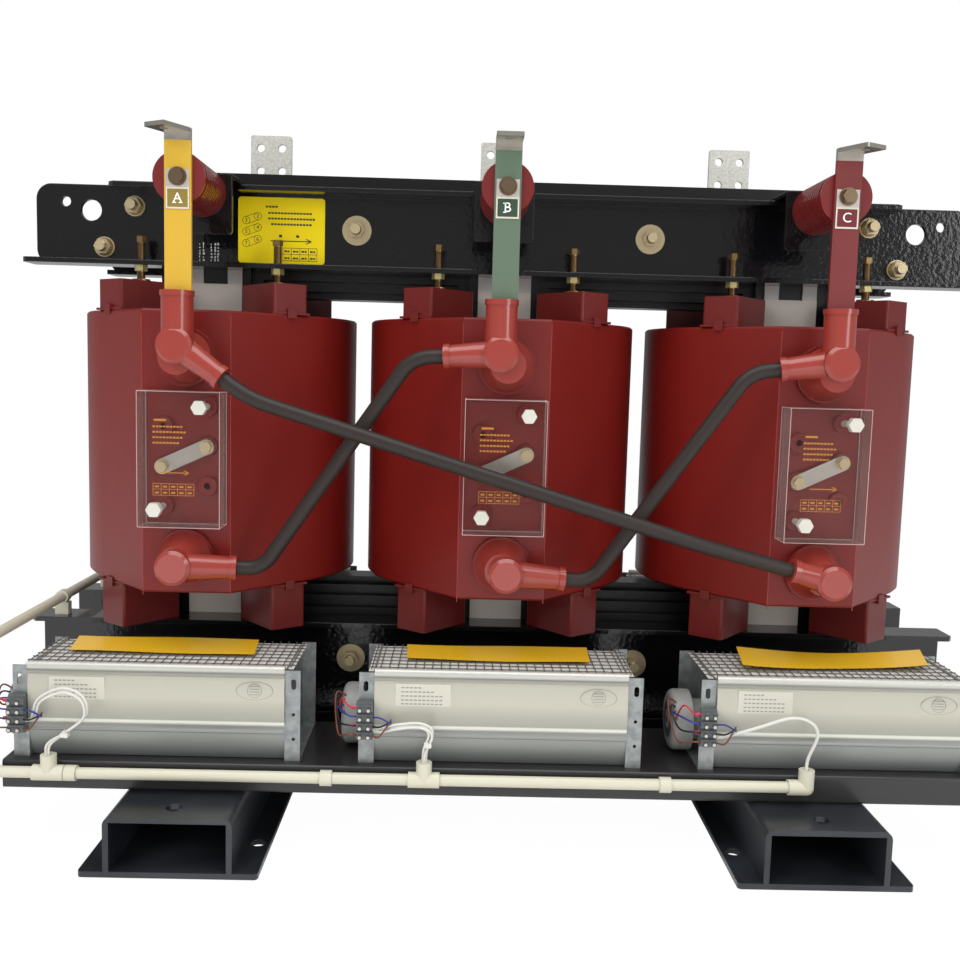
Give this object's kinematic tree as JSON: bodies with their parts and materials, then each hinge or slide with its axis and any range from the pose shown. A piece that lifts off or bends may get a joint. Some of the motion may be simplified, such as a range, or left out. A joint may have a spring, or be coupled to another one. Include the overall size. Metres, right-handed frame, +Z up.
{
  "type": "dry type transformer",
  "caption": "Cast resin power transformer: coils on a stepped core between clamps, delta links in front, bars behind, cross flow fans on shelves, box section feet.",
  "frame": {"origin": "centre of the footprint at the floor", "axes": "+X along the row of coils, -Y the high voltage side with the delta links, +Z up"},
  "size_m": [1.552, 1.01, 1.144],
  "materials": {
    "core_black": "semi gloss black paint over laminations",
    "clamp_black": "gloss black paint",
    "foot_black": "satin black paint",
    "strip_steel": "dull grey",
    "sheet_grey": "milky grey sheet",
    "resin_red": "smooth cast resin",
    "block_red": "moulded resin",
    "lv_resin": "impregnated wrap",
    "insulator_red": "glossy moulded resin",
    "sleeve_yellow": "shrink sleeve",
    "sleeve_green": "shrink sleeve",
    "sleeve_red": "shrink sleeve",
    "boot_red": "glossy silicone",
    "cable_black": "satin jacket",
    "clear_plastic": "clear acrylic",
    "nylon_white": "nylon",
    "tinned_copper": "tinned",
    "zinc_steel": "zinc passivated",
    "zinc_yellow": "yellow zinc plated steel",
    "block_black": "moulded",
    "fan_aluminium": "satin sheet",
    "galvanised": "galvanised",
    "motor_grey": "grey paint",
    "terminal_grey": "moulded",
    "rotor_aluminium": "sheet",
    "conduit_cream": "rigid pvc",
    "lead_white": "sheathed lead"
  },
  "bodies": {
    "frame": {"core_limbs": "core_black", "upper_yoke": "core_black", "lower_yoke": "core_black", "upper_clamp_front": "clamp_black", "upper_clamp_rear": "clamp_black", "lower_clamp_front": "clamp_black", "lower_clamp_rear": "clamp_black", "pull_plates": "strip_steel", "limb_sheets": "sheet_grey", "hv_coil_a": "resin_red", "hv_coil_b": "resin_red", "hv_coil_c": "resin_red", "lv_coils": "lv_resin", "upper_spacer_blocks": "block_red", "lower_spacer_blocks": "block_red", "jack_bolts": "zinc_yellow", "jack_lock_nuts": "zinc_yellow", "clamp_bolts": "zinc_steel", "insulators": "insulator_red", "insulator_brackets": "clamp_black", "hv_bar_a": "sleeve_yellow", "hv_bar_b": "sleeve_green", "hv_bar_c": "sleeve_red", "hv_tabs": "tinned_copper", "bar_bolts": "zinc_steel", "upper_boots": "boot_red", "lower_boots": "boot_red", "delta_cable_ac": "cable_black", "delta_cable_ba": "cable_black", "delta_cable_cb": "cable_black", "tap_covers": "clear_plastic", "tap_links": "tinned_copper", "tap_link_bolts": "zinc_steel", "cover_bolts": "nylon_white", "lv_bars": "tinned_copper", "lv_supports": "clamp_black", "lv_support_blocks": "block_black", "foot_left": "foot_black", "foot_right": "foot_black", "fan_shelf_front": "foot_black", "fan_shelf_rear": "foot_black", "fan_casings": "fan_aluminium", "fan_end_brackets": "galvanised", "fan_grilles": "galvanised", "fan_motors": "motor_grey", "fan_terminal_blocks": "terminal_grey", "conduit_pipes": "conduit_cream", "conduit_fittings": "conduit_cream", "conduit_clips": "conduit_cream", "fan_leads": "lead_white"},
    "rotor_1": {"fan_rotor_1": "rotor_aluminium"},
    "rotor_2": {"fan_rotor_2": "rotor_aluminium"},
    "rotor_3": {"fan_rotor_3": "rotor_aluminium"},
    "rotor_4": {"fan_rotor_4": "rotor_aluminium"},
    "rotor_5": {"fan_rotor_5": "rotor_aluminium"},
    "rotor_6": {"fan_rotor_6": "rotor_aluminium"}
  },
  "joints": [
    {"name": "rotor_1_spin", "type": "hinge", "parent": "frame", "child": "rotor_1", "pos_m": [-0.486, -0.318, 0.172], "axis": [1, 0, 0], "continuous": true},
    {"name": "rotor_2_spin", "type": "hinge", "parent": "frame", "child": "rotor_2", "pos_m": [0.486, 0.318, 0.172], "axis": [1, 0, 0], "continuous": true},
    {"name": "rotor_3_spin", "type": "hinge", "parent": "frame", "child": "rotor_3", "pos_m": [0.001, -0.318, 0.172], "axis": [1, 0, 0], "continuous": true},
    {"name": "rotor_4_spin", "type": "hinge", "parent": "frame", "child": "rotor_4", "pos_m": [-0.001, 0.318, 0.172], "axis": [1, 0, 0], "continuous": true},
    {"name": "rotor_5_spin", "type": "hinge", "parent": "frame", "child": "rotor_5", "pos_m": [0.488, -0.318, 0.172], "axis": [1, 0, 0], "continuous": true},
    {"name": "rotor_6_spin", "type": "hinge", "parent": "frame", "child": "rotor_6", "pos_m": [-0.488, 0.318, 0.172], "axis": [1, 0, 0], "continuous": true}
  ]
}
